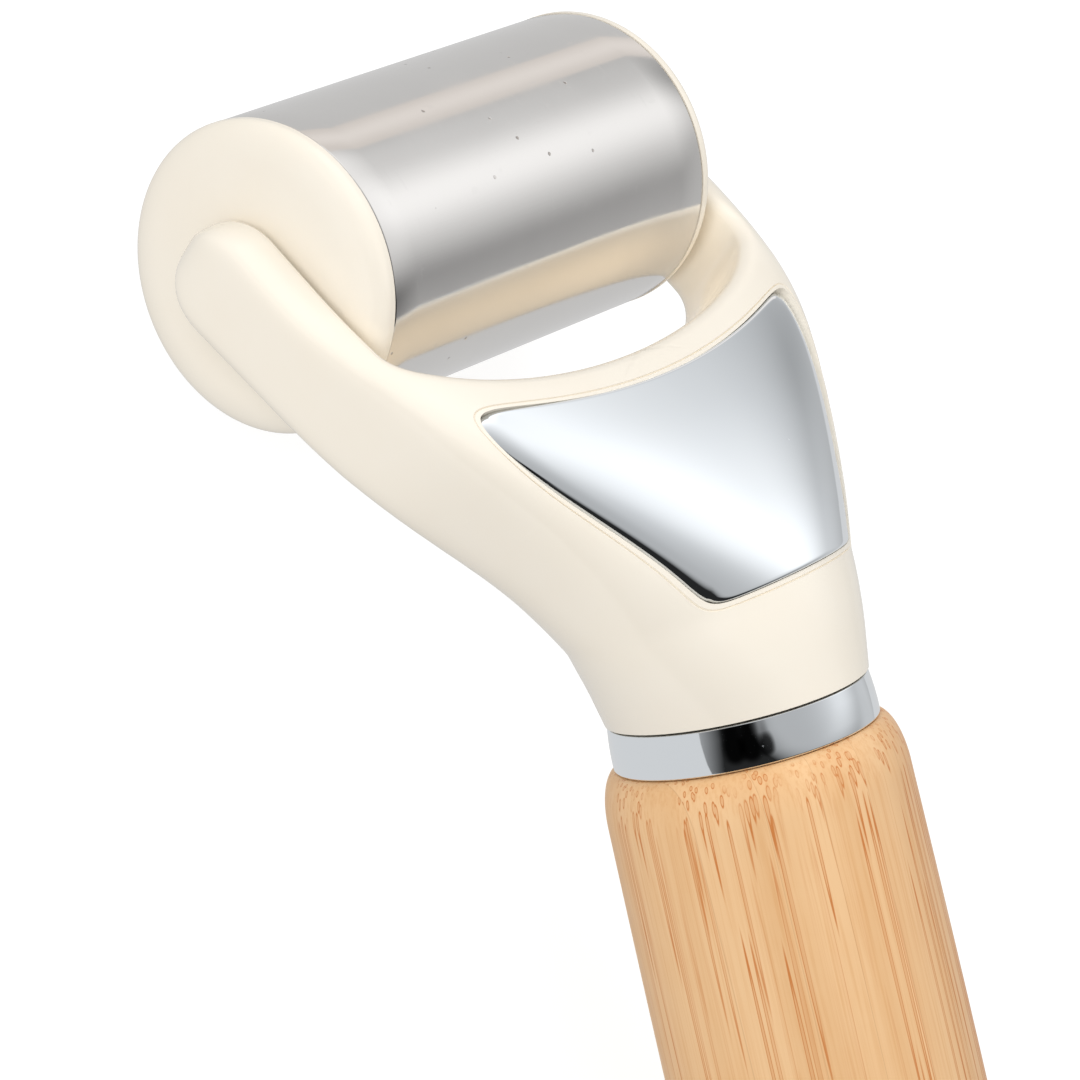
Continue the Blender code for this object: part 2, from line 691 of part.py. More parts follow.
def lay_on_table():
    """Turns the roller onto its drum and its butt's rim, with the box's base centre at the origin."""
    rim_y = HANDLE_END + BUTT_ROUND
    edge_r = float(handle_radius_at(rim_y))
    low_z = -NECK_Y - (edge_r - BUTT_ROUND)
    high_z = -NECK_Y + (edge_r - BUTT_ROUND)
    tilt = acos((BUTT_ROUND - CAP_R) / hypot(rim_y, low_z)) - atan2(-rim_y, low_z)
    far_y = rim_y * cos(tilt) - high_z * sin(tilt) - BUTT_ROUND
    ROOT.rotation_euler = (tilt - pi / 2, 0, 0)
    ROOT.location = (0, -(far_y + CAP_R) / 2 * MM, CAP_R * MM)


clear_scene()
ROOT = bpy.data.objects.new("roller_frame", None)
bpy.context.collection.objects.link(ROOT)
build_drum()
build_pivots()
build_yoke()
build_shield()
build_neck()
lay_on_table()
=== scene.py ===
"""Looks of the facial cooling roller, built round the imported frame.

Lengths in the shape code are millimetres in the roller's own frame: the origin is the drum's centre, +x the
drum's axis, +z up the handle towards the drum and +y the way that the drum is offset from the handle. One
matrix, worked out from the record, lays that frame on the table.
"""

import json
from math import atan2, cos, pi, radians, sin, tan

import bmesh
import bpy
import numpy as np
from mathutils import Matrix, Vector


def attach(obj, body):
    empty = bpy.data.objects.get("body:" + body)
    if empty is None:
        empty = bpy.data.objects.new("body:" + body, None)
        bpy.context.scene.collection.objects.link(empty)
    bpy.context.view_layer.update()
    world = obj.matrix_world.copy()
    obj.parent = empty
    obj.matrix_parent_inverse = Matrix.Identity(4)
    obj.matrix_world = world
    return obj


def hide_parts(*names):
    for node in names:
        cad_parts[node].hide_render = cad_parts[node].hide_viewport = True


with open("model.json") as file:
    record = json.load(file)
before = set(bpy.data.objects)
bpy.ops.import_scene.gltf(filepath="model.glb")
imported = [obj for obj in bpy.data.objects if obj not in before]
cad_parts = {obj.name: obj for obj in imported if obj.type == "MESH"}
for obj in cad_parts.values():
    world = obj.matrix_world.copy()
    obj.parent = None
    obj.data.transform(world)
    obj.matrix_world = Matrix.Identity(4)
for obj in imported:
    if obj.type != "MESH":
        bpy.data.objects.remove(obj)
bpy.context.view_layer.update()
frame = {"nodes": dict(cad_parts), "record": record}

MM = 0.001
SMOOTH_ANGLE = 30.0
PLATE_SMOOTH_ANGLE = 40.0

# ---- the roller's sizes, as in the CAD

DRUM_R = 19.0
DRUM_HALF = 31.5
SHELL_WALL = 1.0
CAP_R = 19.05
CAP_FLANGE_IN = 31.65
CAP_FACE = 34.5
CAP_ROUND_R = 4.6
CAP_ROUND_X = 2.2
PLUG_R = 17.7
PLUG_END = 26.5
PLUG_WALL = 3.0
CAP_WEB = 1.0
BOSS_R = 6.0
PIN_END = 27.1
PIN_HOLE_R = 2.8
SEAL_X = 29.0
SEAL_GROOVE_R = 16.0
SEAL_GROOVE_HALF = 1.0

LEAN = radians(51.4)
BEND = 63.0
SPINE_OFFSET = -0.4
NECK_Y = -29.5
NECK_Z = -63.2
ARM_IN = 35.6
ARM_TIP = 7.9
ARM_ROUND = 1.2
STATIONS = (0.0, 15.0, 25.0, 33.0, 41.0, 50.0, 60.0, 72.0)
HALF_WIDTHS = (41.6, 41.2, 38.8, 36.0, 31.5, 26.5, 21.9, 16.4)
HALF_DEPTHS = (7.9, 7.9, 9.4, 10.2, 11.4, 13.1, 15.6, 16.4)
DEPTH_SHIFTS = (0.3, 0.3, 0.5, 0.6, 0.6, 0.3, 0.2, 0.0)
ARM_SQUARENESS = 8.0
NECK_SQUARENESS = 2.0
SQUARE_UNTIL = 15.0
SQUARE_FADE = 45.0
CROTCH_START = 18.8
CROTCH_END = 31.1
CROTCH_FRONT_ROUND = 3.4
CROTCH_BACK_ROUND = 2.0
CROTCH_ROUND_FROM = 4.0
CROTCH_ROUND_EASE = 18.0
CROTCH_ROUND_SHARE = 0.6
CROTCH_FAN = 13.0
FAN_LEAD = 6.0
NECK_ROW_EASE = 1.4
SPIGOT_R = 12.6
SPIGOT_END = -75.7
SOCKET_R = 4.3
SOCKET_END = 39.5

SHIELD_TOP = 35.2
SHIELD_HORN = 5.0
SHIELD_END = 59.0
SHIELD_TOP_HALF = 32.4
SHIELD_END_HALF = 15.3
SHIELD_BULGE = 18.0
SHIELD_CORNER = 16.0
SHIELD_PROUD = 0.2
SHIELD_UNDER = -1.3
RECESS_FLOOR = -2.2
POCKET_INSET = 4.2
POCKET_FLOOR = 7.5

BOLT_SEAT = -53.0
BOLT_HOLE_R = 2.9
COUNTERBORE_R = 6.4
COUNTERBORE_TOP = -37.0
COLLAR_TOP = -63.5
COLLAR_BOTTOM = -68.5
COLLAR_TOP_R = 16.2
COLLAR_BOTTOM_R = 16.55
COLLAR_IN_R = 12.95
HANDLE_TOP = -69.1
HANDLE_TOP_R = 16.3
HANDLE_SHOULDER = -76.0
HANDLE_R = 18.85
HANDLE_BELLY = -122.0
HANDLE_BELLY_R = 19.25
HANDLE_END = -169.0
HANDLE_END_R = 18.7
BUTT_ROUND = 6.0
TENON_BORE_R = 13.0
TENON_BORE_END = -76.1
INSERT_BORE_R = 5.3
INSERT_BORE_END = -100.0

# ---- what is finer than in the CAD: the fork's mesh, the plate's face, the recess round it and the edges

ROW_SAMPLES = 900
RIM_ANGLE = 0.03
SHIELD_CROWN = 0.062
SHIELD_RISE = 0.3
SHIELD_SIDE_ROUND = (3.0, 0.7)
SHIELD_END_ROUND = 0.35
RECESS_GAP = 0.06
RECESS_LEDGE = (0.05, 0.03)
RECESS_GROOVE = (0.5, 0.6, 0.7)
RECESS_GROOVE_DEPTH = 0.22
RECESS_LIP = 0.02
RECESS_FLARE = 0.3
RECESS_CUT_TOP = 3.0
TUBE_EDGE = 0.18
COLLAR_SKIRT = -69.0
COLLAR_SKIRT_IN_R = 15.9
COLLAR_LOW_EDGE = 0.3
COLLAR_HIGH_EDGE = 0.15
COLLAR_BULGE = 0.1

# ---- levels of plain light

WORLD_LIGHT = 0.56
FLOOR_LIGHT = 0.84
TENT_CLOTH = 0.58
TENT_DARKEST = 0.02
TENT_FLOOR = 0.67


def lying_down():
    """The matrix that lays the roller's own frame on the table, from the record's joint and mount."""
    record = frame["record"]
    spin = record["behaviour"]["joints"][0]
    butt = record["mounts"][0]
    tilt = atan2(-butt["axis"][2], -butt["axis"][1])
    return Matrix.Translation(spin["pos_m"]) @ Matrix.Rotation(tilt - pi / 2, 4, "X")


LYING = lying_down()


# ---- mesh helpers

def add_piece(name, points, faces, smooth_angle=SMOOTH_ANGLE):
    """One object from points in millimetres, laid on the table, welded, closed and facing out."""
    weld = 0.000002
    turn = np.array(LYING.to_3x3())
    laid = np.array(points, float) * MM @ turn.T + np.array(LYING.translation)
    mesh = bpy.data.meshes.new(name)
    mesh.from_pydata(laid.tolist(), [], faces)
    work = bmesh.new()
    work.from_mesh(mesh)
    bmesh.ops.remove_doubles(work, verts=work.verts, dist=weld)
    bmesh.ops.dissolve_degenerate(work, edges=work.edges, dist=weld / 2)
    bmesh.ops.recalc_face_normals(work, faces=work.faces)
    work.to_mesh(mesh)
    work.free()
    shade(mesh, smooth_angle)
    piece = bpy.data.objects.new(name, mesh)
    bpy.context.collection.objects.link(piece)
    return piece


def shade(mesh, smooth_angle):
    """Smooth faces, with a sharp edge wherever two of them meet at more than the angle in degrees."""
    mesh.polygons.foreach_set("use_smooth", [True] * len(mesh.polygons))
    mesh.set_sharp_from_angle(angle=radians(smooth_angle))
    mesh.update()


def cut_out(piece, cutters):
    """Takes the cutters from the piece for good, then removes them."""
    for cutter in cutters:
        step = piece.modifiers.new(cutter.name, "BOOLEAN")
        step.operation = "DIFFERENCE"
        step.solver = "EXACT"
        step.object = cutter
    bpy.context.view_layer.update()
    shown = piece.evaluated_get(bpy.context.evaluated_depsgraph_get())
    mesh = bpy.data.meshes.new_from_object(shown)
    piece.modifiers.clear()
    old = piece.data
    piece.data = mesh
    bpy.data.meshes.remove(old)
    shade(mesh, SMOOTH_ANGLE)
    for cutter in cutters:
        bpy.data.objects.remove(cutter, do_unlink=True)


def revolve(name, profile, place, segments, closed=True):
    """Turns (along, radius) points about an axis. place maps (along, across, across) to a point."""
    points = []
    rings = []
    for along, radius in profile:
        if radius < 1e-6:
            rings.append([len(points)] * segments)
            points.append(place(along, 0.0, 0.0))
            continue
        ring = []
        for i in range(segments):
            a = 2 * pi * i / segments
            ring.append(len(points))
            points.append(place(along, radius * cos(a), radius * sin(a)))
        rings.append(ring)
    faces = []
    pairs = len(rings) if closed else len(rings) - 1
    for k in range(pairs):
        low = rings[k]
        high = rings[(k + 1) % len(rings)]
        for i in range(segments):
            j = (i + 1) % segments
            corners = []
            for index in (low[i], low[j], high[j], high[i]):
                if index not in corners:
                    corners.append(index)
            if len(corners) > 2:
                faces.append(corners)
    return add_piece(name, points, faces)


def about_drum(side):
    return lambda along, u, v: (side * along, u, v)


def about_neck(along, u, v):
    return (u, NECK_Y + v, along)


def quarter(start, end, steps, first_along=True):
    """Points after start up to end on a quarter of an ellipse that leaves start along one coordinate."""
    found = []
    for i in range(1, steps + 1):
        a = pi / 2 * i / steps
        first, second = (sin(a), 1 - cos(a)) if first_along else (1 - cos(a), sin(a))
        found.append((start[0] + (end[0] - start[0]) * first, start[1] + (end[1] - start[1]) * second))
    return found


def spline(knots, values):
    """A natural cubic spline through the stations."""
    x = np.array(knots, float)
    y = np.array(values, float)
    gap = np.diff(x)
    matrix = np.eye(len(x))
    right = np.zeros(len(x))
    for i in range(1, len(x) - 1):
        matrix[i, i - 1:i + 2] = gap[i - 1], 2 * (gap[i - 1] + gap[i]), gap[i]
        right[i] = 6 * ((y[i + 1] - y[i]) / gap[i] - (y[i] - y[i - 1]) / gap[i - 1])
    bend = np.linalg.solve(matrix, right)

    def value(at):
        at = np.clip(np.asarray(at, float), x[0], x[-1])
        i = np.clip(np.searchsorted(x, at) - 1, 0, len(x) - 2)
        t = at - x[i]
        u = x[i + 1] - at
        k = gap[i]
        cubic = (bend[i] * u**3 + bend[i + 1] * t**3) / (6 * k)
        return cubic + (y[i] / k - bend[i] * k / 6) * u + (y[i + 1] / k - bend[i + 1] * k / 6) * t

    return value


# ---- the yoke's surface: s runs down its spine, x across it and depth towards its front

half_width_at = spline(STATIONS, HALF_WIDTHS)
half_depth_at = spline(STATIONS, HALF_DEPTHS)
depth_shift_at = spline(STATIONS, DEPTH_SHIFTS)

SPINE_Y0 = SPINE_OFFSET * sin(LEAN)
SPINE_Z0 = -SPINE_OFFSET * cos(LEAN)
BEND_START = (SPINE_Y0 - NECK_Y) / cos(LEAN) - BEND * tan((pi / 2 - LEAN) / 2)
BEND_END = BEND_START + BEND * (pi / 2 - LEAN)
BEND_CENTRE_Y = NECK_Y + BEND
BEND_CENTRE_Z = SPINE_Z0 - sin(LEAN) * BEND_START - BEND * cos(LEAN)
SPINE_END = BEND_END + BEND_CENTRE_Z - NECK_Z


def spine_point(s, depth):
    """(y, z) at a distance s down the yoke's spine and a depth in front of it."""
    s = np.asarray(s, float)
    turn = LEAN + np.clip(s - BEND_START, 0, BEND_END - BEND_START) / BEND
    y = np.where(s <= BEND_START, SPINE_Y0 - cos(LEAN) * s, BEND_CENTRE_Y - BEND * np.sin(turn))
    z = np.where(s <= BEND_START, SPINE_Z0 - sin(LEAN) * s, BEND_CENTRE_Z + BEND * np.cos(turn))
    z = z - np.maximum(s - BEND_END, 0)
    return y + depth * np.sin(turn), z - depth * np.cos(turn)


def yoke_half_width(s):
    tip = np.clip(-s / ARM_TIP, 0, 1)
    width = half_width_at(np.maximum(s, 0))
    return np.where(s < 0, ARM_IN + (width - ARM_IN) * (1 - tip**3) ** (1 / 3), width)


def yoke_half_depth(s):
    tip = np.clip(-s / ARM_TIP, 0, 1)
    return half_depth_at(np.maximum(s, 0)) * np.sqrt(1 - tip**2)


def yoke_squareness(s):
    k = np.clip((s - SQUARE_UNTIL) / SQUARE_FADE, 0, 1)
    blend = 0.5 * k + 0.5 * k * k * (3 - 2 * k)
    return ARM_SQUARENESS + (NECK_SQUARENESS - ARM_SQUARENESS) * blend


def crotch_distance(s, x):
    """How far a point of the yoke's plan lies from the U of the fork."""
    reach = CROTCH_END - CROTCH_START
    down = np.maximum(s - CROTCH_START, 0) / reach
    across = np.maximum(x, 0) / ARM_IN
    level = np.sqrt(across**2 + down**2 + 1e-12)
    slope = np.sqrt((across / ARM_IN) ** 2 + (down / reach) ** 2 + 1e-12) / level
    return (level - 1) / slope


def yoke_depth(s, x, side):
    """Depth of the yoke's front sheet (side 1) or back sheet (side -1) at a point of its plan, x >= 0."""
    p = yoke_squareness(s)
    t = np.clip(x / yoke_half_width(s), 0, 1)
    depth = yoke_half_depth(s) * (1 - t**p) ** (1 / p)
    r = CROTCH_FRONT_ROUND if side > 0 else CROTCH_BACK_ROUND
    k = np.clip((s - CROTCH_ROUND_FROM) / CROTCH_ROUND_EASE, 0, 1)
    r = ARM_ROUND + (r - ARM_ROUND) * k * k * (3 - 2 * k)
    r = np.minimum(r, CROTCH_ROUND_SHARE * yoke_half_depth(s) + 1e-6)
    away = np.clip(crotch_distance(s, x), 0, r)
    depth = depth - r + np.sqrt(np.maximum(r**2 - (r - away) ** 2, 0))
    return depth_shift_at(np.maximum(s, 0)) + side * np.maximum(depth, 0)


def even_steps(line, count, turn_weight=4.0):
    """Resamples a dense line so that steps are even in length plus turning."""
    step = np.diff(line, axis=0)
    length = np.linalg.norm(step, axis=1) + 1e-9
    heading = step / length[:, None]
    turn = np.arccos(np.clip((heading[1:] * heading[:-1]).sum(1), -1, 1))
    cost = length.copy()
    cost[1:] += turn_weight * turn
    total = np.concatenate([[0], np.cumsum(cost)])
    index = np.interp(np.linspace(0, total[-1], count + 1), total, np.arange(len(total)))
    columns = [np.interp(index, np.arange(len(line)), line[:, k]) for k in range(3)]
    return np.stack(columns, -1)


def yoke_row_ends(tip_rows, arm_rows, crotch_rows, neck_rows):
    """Rows of half the yoke's plan: inner ends (s, x), the s of outer ends, and the last crotch row."""
    inner = [(-ARM_TIP * cos(a), ARM_IN) for a in np.linspace(0, pi / 2, tip_rows + 1)]
    inner += [(s, ARM_IN) for s in np.linspace(0, CROTCH_START, arm_rows + 1)[1:]]
    reach = CROTCH_END - CROTCH_START
    for a in np.linspace(0, pi / 2, crotch_rows + 1)[1:]:
        inner.append((CROTCH_START + reach * sin(a), ARM_IN * max(cos(a), 0.0)))
    for k in np.linspace(0, 1, neck_rows + 1)[1:]:
        inner.append((CROTCH_END + (SPINE_END - CROTCH_END) * k**NECK_ROW_EASE, 0.0))
    inner = np.array(inner)
    inner[np.abs(inner[:, 1]) < 1e-9, 1] = 0.0
    along = np.concatenate([[0], np.cumsum(np.hypot(*np.diff(inner, axis=0).T))])
    first = tip_rows + arm_rows
    last = first + crotch_rows
    leads = (2 * FAN_LEAD, FAN_LEAD, 0.0)
    knots = [along[first] - lead for lead in leads] + [along[last], along[-1]]
    values = [CROTCH_START - lead for lead in leads] + [CROTCH_END + CROTCH_FAN, SPINE_END]
    outer = np.concatenate([inner[:first + 1, 0], spline(knots, values)(along[first + 1:])])
    return inner, outer, last


def yoke_rows(tip_rows, arm_rows, crotch_rows, neck_rows, columns, wall_columns):
    """Rows of points on the front sheet, the back sheet and the inner wall of the +x half."""
    inner, outer, last = yoke_row_ends(tip_rows, arm_rows, crotch_rows, neck_rows)
    rows = []
    for (s_in, x_in), s_out in zip(inner, outer):
        t_in = min(x_in / float(yoke_half_width(s_in)), 1.0)
        p = float(yoke_squareness(s_in))
        start = atan2((1 - t_in**p) ** (1 / p), t_in)
        a = np.append(np.linspace(start, min(RIM_ANGLE, start / 2), ROW_SAMPLES), 0.0)
        t = np.cos(a) / (np.cos(a) ** p + np.sin(a) ** p) ** (1 / p)
        t[0] = t_in
        t[-1] = 1.0
        s = s_in + (s_out - s_in) * (t - t_in) / max(1 - t_in, 1e-9)
        x = t * yoke_half_width(s)
        sheets = []
        for side in (1, -1):
            y, z = spine_point(s, yoke_depth(s, x, side))
            sheets.append(even_steps(np.stack([x, y, z], -1), columns))
        front, back = sheets
        wall = [back[0] + (front[0] - back[0]) * k for k in np.linspace(0, 1, wall_columns + 1)]
        rows.append((front, back, np.array(wall)))
    return rows, last


def yoke_shell(rows, last):
    """Points and faces of both halves, open only at the neck's end, and that end's ring of points."""
    points = []
    faces = []

    def strip(lines):
        for first, second in zip(lines, lines[1:]):
            for j in range(len(first) - 1):
                base = len(points)
                points.extend([first[j], first[j + 1], second[j + 1], second[j]])
                faces.append([base, base + 1, base + 2, base + 3])

    for sign in (1, -1):
        flip = np.array([sign, 1, 1])
        strip([front * flip for front, back, wall in rows])
        strip([back * flip for front, back, wall in rows])
        strip([wall * flip for front, back, wall in rows[:last + 1]])
    front, back, wall = rows[-1]
    other = np.array([-1, 1, 1])
    ring = list(front) + list(back[::-1][1:]) + list((back * other)[1:]) + list((front * other)[::-1][1:-1])
    return points, faces, ring


def yoke_body():
    """The fork as one closed solid: both halves, the neck's end and the spigot below it."""
    rows, last = yoke_rows(
        tip_rows=12,
        arm_rows=12,
        crotch_rows=44,
        neck_rows=40,
        columns=30,
        wall_columns=8,
    )
    points, faces, ring = yoke_shell(rows, last)
    ends = []
    for radius, z in ((0, NECK_Z), (SPIGOT_R, NECK_Z), (SPIGOT_R, SPIGOT_END)):
        copy = []
        for x, y, old_z in ring:
            a = atan2(y - NECK_Y, x)
            if radius:
                copy.append((radius * cos(a), NECK_Y + radius * sin(a), z))
            else:
                copy.append((x, y, old_z))
        ends.append(copy)
    for low, high in zip(ends, ends[1:]):
        for i in range(len(ring)):
            j = (i + 1) % len(ring)
            base = len(points)
            points.extend([low[i], low[j], high[j], high[i]])
            faces.append([base, base + 1, base + 2, base + 3])
    base = len(points)
    points.extend(ends[-1])
    faces.append(list(range(base, len(points))))
    return add_piece("fork", points, faces)


# ---- the shield, laid on the yoke's back sheet

def shield_plan(a, b, grow):
    """(s, x) in the yoke's plan for a, b in -1..1 over the shield: a runs down it and b across it."""
    far = (np.abs(a) ** SHIELD_CORNER + np.abs(b) ** SHIELD_CORNER) ** (1 / SHIELD_CORNER)
    scale = np.maximum(np.abs(a), np.abs(b)) / np.maximum(far, 1e-9)
    a = a * scale
    b = b * scale
    k = (a + 1) / 2
    top = SHIELD_TOP - SHIELD_HORN * b * b - grow
    half = SHIELD_TOP_HALF + (SHIELD_END_HALF - SHIELD_TOP_HALF) * k + SHIELD_BULGE * k * (1 - k) ** 2 + grow
    return top + (SHIELD_END + grow - top) * k, b * half


def back_points(s, x, lift):
    """Points lifted off the yoke's back sheet along its normal."""
    def at(s_at, x_at):
        y, z = spine_point(s_at, yoke_depth(s_at, np.abs(x_at), -1))
        return np.stack([x_at, y, z], -1)

    normal = np.cross(at(s + 0.05, x) - at(s - 0.05, x), at(s, x + 0.05) - at(s, x - 0.05))
    normal /= np.linalg.norm(normal, axis=-1, keepdims=True)
    normal *= -np.sign(normal[..., 1:2])
    return at(s, x) + normal * lift


def plate_face(a, b):
    """Height of the plate's face: crowned across, sunk along its two long sides and eased at its ends."""
    s, x = shield_plan(a, b, 0.0)
    s_rim, half = shield_plan(a, np.ones_like(b), 0.0)
    height = SHIELD_PROUD + SHIELD_RISE - SHIELD_CROWN / 2 * x * x / half
    reach, sink = SHIELD_SIDE_ROUND
    u = np.clip(1 - (half - np.abs(x)) / reach, 0, 1)
    height = height - sink * (1 - np.sqrt(1 - u * u))
    half_length = (SHIELD_END - SHIELD_TOP) / 2
    u = np.clip(1 - (1 - np.abs(a)) * half_length / SHIELD_END_ROUND, 0, 1)
    return height - SHIELD_END_ROUND * (1 - np.sqrt(1 - u * u))


def shield_block(name, levels, rows=56, columns=80):
    """A slab on the yoke's back: full sheets at the first and last (grow, lift) level, and rims between."""
    a_steps = np.sin(np.linspace(-pi / 2, pi / 2, rows))
    b_steps = np.sin(np.linspace(-pi / 2, pi / 2, columns))
    a, b = np.meshgrid(a_steps, b_steps, indexing="ij")
    rim = [(i, 0) for i in range(rows)] + [(rows - 1, j) for j in range(1, columns)]
    rim += [(i, columns - 1) for i in range(rows - 2, -1, -1)] + [(0, j) for j in range(columns - 2, 0, -1)]
    rim_i = np.array([i for i, j in rim])
    rim_j = np.array([j for i, j in rim])
    points = []
    faces = []
    loops = []
    for k, (grow, lift) in enumerate(levels):
        sheet = k in (0, len(levels) - 1)
        base = len(points)
        if sheet:
            s, x = shield_plan(a, b, grow)
            height = lift(a, b)[..., None] if callable(lift) else lift
            points.extend(back_points(s, x, height).reshape(-1, 3))
            loops.append([base + i * columns + j for i, j in rim])
            for i in range(rows - 1):
                for j in range(columns - 1):
                    corner = base + i * columns + j
                    faces.append([corner, corner + columns, corner + columns + 1, corner + 1])
        else:
            s, x = shield_plan(a[rim_i, rim_j], b[rim_i, rim_j], grow)
            points.extend(back_points(s, x, lift))
            loops.append(list(range(base, base + len(rim))))
    for low, high in zip(loops, loops[1:]):
        for i in range(len(rim)):
            j = (i + 1) % len(rim)
            faces.append([low[i], low[j], high[j], high[i]])
    return add_piece(name, points, faces, PLATE_SMOOTH_ANGLE)


def recess_levels():
    """The recess's floor and wall, the ledge round the plate, and the fine groove that frames the ledge."""
    inner, bottom, outer = RECESS_GROOVE
    return [
        (RECESS_GAP, RECESS_FLOOR),
        (RECESS_GAP, -RECESS_LEDGE[0]),
        (inner, -RECESS_LEDGE[1]),
        (bottom, -RECESS_GROOVE_DEPTH),
        (outer, RECESS_LIP),
        (outer + RECESS_FLARE, RECESS_FLARE),
        (outer + RECESS_FLARE, RECESS_CUT_TOP),
    ]


def pocket():
    """The cutter for the hollow under the shield."""
    steps = np.linspace(-1, 1, 13)
    loop = [(a, -1) for a in steps] + [(1, b) for b in steps[1:]]
    loop += [(a, 1) for a in steps[::-1][1:]] + [(-1, b) for b in steps[::-1][1:-1]]
    a, b = np.array(loop, float).T
    s, x = shield_plan(a, b, -POCKET_INSET)
    depths = (-26.0, -8.0, 0.0, POCKET_FLOOR)
    points = []
    for depth in depths:
        y, z = spine_point(s, depth)
        points.extend(np.stack([x, y, z], -1))
    count = len(loop)
    faces = [list(range(count)), list(range((len(depths) - 1) * count, len(depths) * count))]
    for level in range(len(depths) - 1):
        for i in range(count):
            j = (i + 1) % count
            low = level * count
            faces.append([low + i, low + j, low + count + j, low + count + i])
    return add_piece("cut_pocket", points, faces)


def make_fork():
    fork = yoke_body()
    cutters = [shield_block("cut_recess", recess_levels()), pocket()]
    bore_end = SPIGOT_END - 2.0
    bore = [(COUNTERBORE_TOP, 0), (COUNTERBORE_TOP, COUNTERBORE_R), (BOLT_SEAT, COUNTERBORE_R)]
    bore += [(BOLT_SEAT, BOLT_HOLE_R), (bore_end, BOLT_HOLE_R), (bore_end, 0)]
    cutters.append(revolve("cut_bore", bore, about_neck, 64, closed=False))
    mouth = ARM_IN - 3.0
    socket = [(mouth, 0), (mouth, SOCKET_R), (SOCKET_END, SOCKET_R), (SOCKET_END, 0)]
    for name, side in (("left", -1), ("right", 1)):
        cutters.append(revolve(f"cut_{name}", socket, about_drum(side), 64, closed=False))
    cut_out(fork, cutters)
    return fork


def make_shield():
    return shield_block("shield", [(0.0, SHIELD_UNDER), (0.0, plate_face)])


def make_tube():
    inner = DRUM_R - SHELL_WALL
    low = DRUM_R - TUBE_EDGE
    profile = [(-DRUM_HALF, inner), (-DRUM_HALF, low)]
    profile += quarter((-DRUM_HALF, low), (-DRUM_HALF + TUBE_EDGE, DRUM_R), 4, first_along=False)
    for x in np.linspace(-DRUM_HALF, DRUM_HALF, 15)[1:-1]:
        profile.append((x, DRUM_R))
    profile += [(DRUM_HALF - TUBE_EDGE, DRUM_R)]
    profile += quarter((DRUM_HALF - TUBE_EDGE, DRUM_R), (DRUM_HALF, low), 4)
    profile += [(DRUM_HALF, inner)]
    return revolve("drum_tube", profile, about_drum(1), 288)


def make_cap(name, side):
    face_edge = (CAP_FACE, CAP_R - CAP_ROUND_R)
    rim = (CAP_FACE - CAP_ROUND_X, CAP_R)
    plug_in = PLUG_R - PLUG_WALL
    hollow_end = CAP_FLANGE_IN - CAP_WEB
    profile = [(PIN_END, 0), (PIN_END, PIN_HOLE_R), (CAP_FACE, PIN_HOLE_R), face_edge]
    profile += quarter(face_edge, rim, 20, first_along=False)
    profile += [(CAP_FLANGE_IN, CAP_R), (CAP_FLANGE_IN, PLUG_R)]
    profile += [(SEAL_X + SEAL_GROOVE_HALF, PLUG_R), (SEAL_X + SEAL_GROOVE_HALF, SEAL_GROOVE_R)]
    profile += [(SEAL_X - SEAL_GROOVE_HALF, SEAL_GROOVE_R), (SEAL_X - SEAL_GROOVE_HALF, PLUG_R)]
    profile += [(PLUG_END, PLUG_R), (PLUG_END, plug_in), (hollow_end, plug_in)]
    profile += [(hollow_end, BOSS_R), (PLUG_END, BOSS_R), (PLUG_END, 0)]
    return revolve(name, profile, about_drum(side), 224, closed=False)


def make_collar():
    start = (COLLAR_SKIRT, COLLAR_BOTTOM_R - COLLAR_LOW_EDGE)
    low = (COLLAR_SKIRT + COLLAR_LOW_EDGE, COLLAR_BOTTOM_R)
    high = (COLLAR_TOP - COLLAR_HIGH_EDGE, COLLAR_TOP_R)
    profile = [(COLLAR_BOTTOM, COLLAR_IN_R), (COLLAR_BOTTOM, COLLAR_SKIRT_IN_R)]
    profile += [(COLLAR_SKIRT, COLLAR_SKIRT_IN_R), start]
    profile += quarter(start, low, 8, first_along=False)
    for k in (0.25, 0.5, 0.75):
        bulge = COLLAR_BULGE * 4 * k * (1 - k)
        profile.append((low[0] + (high[0] - low[0]) * k, low[1] + (high[1] - low[1]) * k + bulge))
    profile += [high]
    profile += quarter(high, (COLLAR_TOP, COLLAR_TOP_R - COLLAR_HIGH_EDGE), 8)
    profile += [(COLLAR_TOP, COLLAR_IN_R)]
    return revolve("collar", profile, about_neck, 256)


handle_radius_at = spline(
    (HANDLE_END, HANDLE_BELLY, HANDLE_SHOULDER),
    (HANDLE_END_R, HANDLE_BELLY_R, HANDLE_R),
)


def make_grip():
    shoulder = (HANDLE_SHOULDER, float(handle_radius_at(HANDLE_SHOULDER)))
    butt = HANDLE_END + BUTT_ROUND
    rim = float(handle_radius_at(butt))
    profile = [(INSERT_BORE_END, 0), (INSERT_BORE_END, INSERT_BORE_R), (TENON_BORE_END, INSERT_BORE_R)]
    profile += [(TENON_BORE_END, TENON_BORE_R), (HANDLE_TOP, TENON_BORE_R), (HANDLE_TOP, HANDLE_TOP_R)]
    profile += quarter((HANDLE_TOP, HANDLE_TOP_R), shoulder, 24, first_along=False)
    for z in np.linspace(HANDLE_SHOULDER, butt, 30)[1:]:
        profile.append((z, float(handle_radius_at(z))))
    profile += quarter((butt, rim), (HANDLE_END, rim - BUTT_ROUND), 20)
    profile += [(HANDLE_END, 0)]
    return revolve("grip", profile, about_neck, 256, closed=False)


# ---- materials

